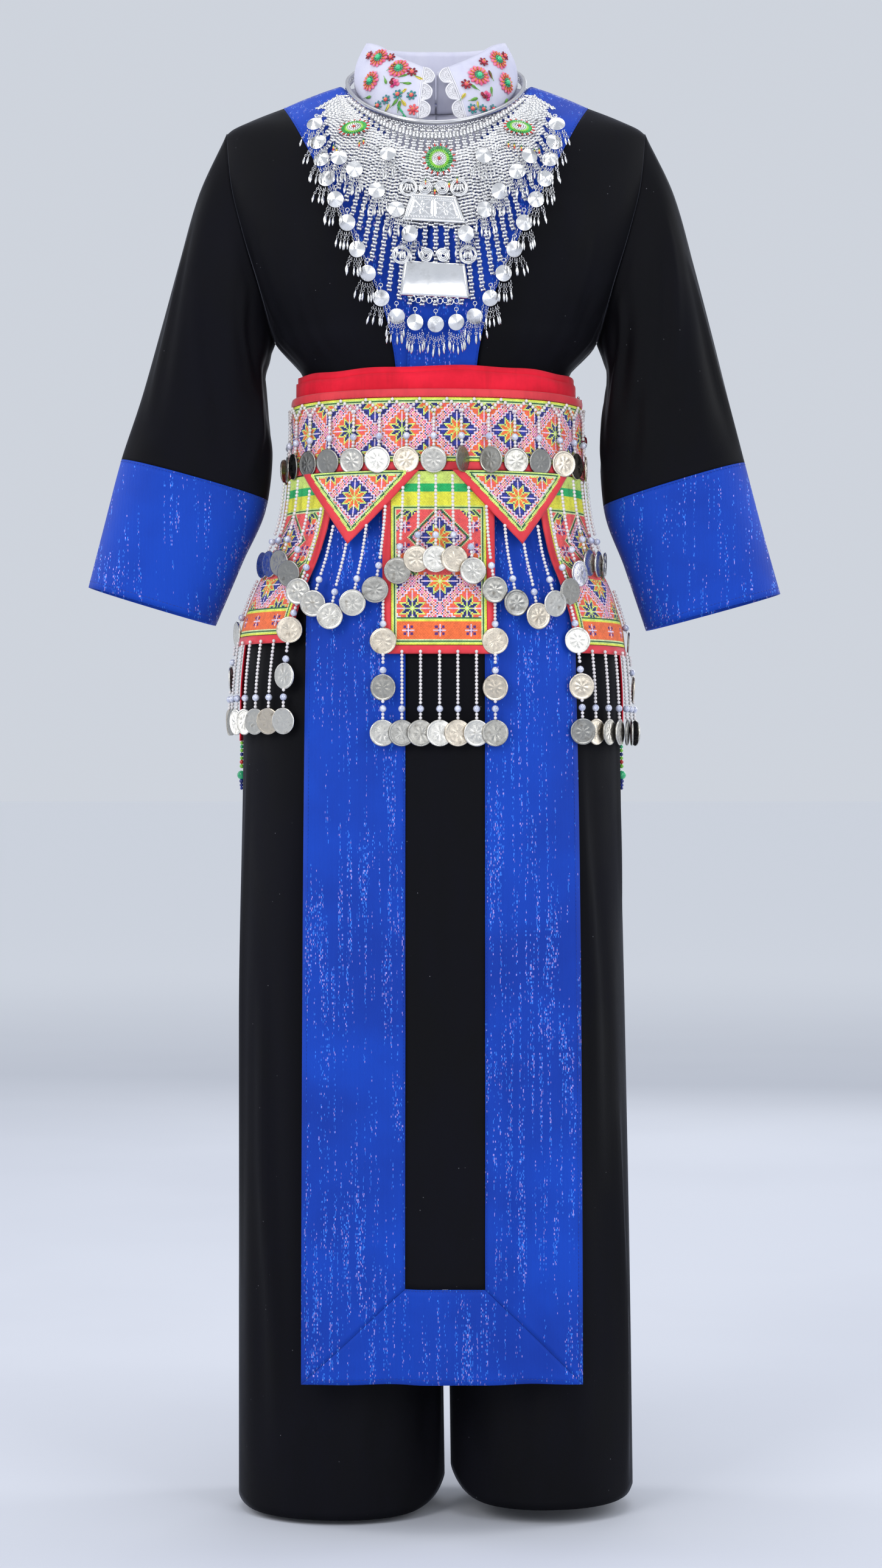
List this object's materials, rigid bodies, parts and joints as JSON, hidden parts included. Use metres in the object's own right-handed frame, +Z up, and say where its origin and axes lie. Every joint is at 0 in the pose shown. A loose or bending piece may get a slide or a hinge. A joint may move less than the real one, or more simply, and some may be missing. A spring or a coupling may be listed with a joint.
{
  "type": "hmong dress costume",
  "caption": "Worn costume of cross-over jacket, wide trousers, long apron, sash, belt with hanging coins and a broad silver necklace; open at neck, cuffs and hems.",
  "frame": {"origin": "the middle of the shoulder line, between the two shoulders, where the wearer holds the costume", "axes": "+Z up along the body, longest extent; -Y to the wearer's front; +X to the viewer's right from the front"},
  "size_m": [0.681, 0.2518, 1.4373],
  "materials": {
    "black_velvet": "matt pile",
    "blue_glitter_cloth": "glitter on cloth",
    "red_sash_cloth": "matt",
    "coral_binding": "satin",
    "cross_stitch": "cross-stitch on cloth",
    "white_cotton": "matt",
    "coins_and_pearls": "silver coins with pearl strings",
    "silver": "polished silver",
    "rosette_enamel": "enamel",
    "bead_ends": "glass beads"
  },
  "bodies": {
    "root": {"apron_border_bottom": "blue_glitter_cloth", "apron_border_left": "blue_glitter_cloth", "apron_border_right": "blue_glitter_cloth", "apron_centre": "black_velvet", "back_neck_band": "blue_glitter_cloth", "belt_band": "cross_stitch", "belt_binding_bottom": "coral_binding", "belt_binding_top": "coral_binding", "belt_coin_row_back": "coins_and_pearls", "belt_coin_row_front": "coins_and_pearls", "belt_coin_wave": "coins_and_pearls", "belt_panel_binding_centre": "coral_binding", "belt_panel_binding_left": "coral_binding", "belt_panel_binding_right": "coral_binding", "belt_panel_centre": "cross_stitch", "belt_panel_coins_centre": "coins_and_pearls", "belt_panel_coins_left": "coins_and_pearls", "belt_panel_coins_right": "coins_and_pearls", "belt_panel_left": "cross_stitch", "belt_panel_right": "cross_stitch", "belt_triangle_binding_left": "coral_binding", "belt_triangle_binding_right": "coral_binding", "belt_triangle_left": "cross_stitch", "belt_triangle_right": "cross_stitch", "blouse_back": "white_cotton", "blouse_front_left": "white_cotton", "blouse_front_right": "white_cotton", "collar_leaf": "white_cotton", "collar_stand": "white_cotton", "cuff_left": "blue_glitter_cloth", "cuff_right": "blue_glitter_cloth", "jacket_back": "black_velvet", "jacket_front_left": "black_velvet", "jacket_front_right": "black_velvet", "lapel_band_left": "blue_glitter_cloth", "lapel_band_right": "blue_glitter_cloth", "lock_plate_lower": "silver", "lock_plate_upper": "silver", "neck_ring": "silver", "necklace_bib": "silver", "pendants_left": "silver", "pendants_outer": "silver", "pendants_right": "silver", "rosette_centre": "rosette_enamel", "rosette_left": "rosette_enamel", "rosette_right": "rosette_enamel", "sash_inner_turn": "red_sash_cloth", "sash_outer_turn": "red_sash_cloth", "sash_tail_beads_left": "bead_ends", "sash_tail_beads_right": "bead_ends", "sash_tail_left": "red_sash_cloth", "sash_tail_right": "red_sash_cloth", "sleeve_left": "black_velvet", "sleeve_right": "black_velvet", "trouser_leg_left_back": "black_velvet", "trouser_leg_left_front": "black_velvet", "trouser_leg_right_back": "black_velvet", "trouser_leg_right_front": "black_velvet"}
  },
  "joints": []
}
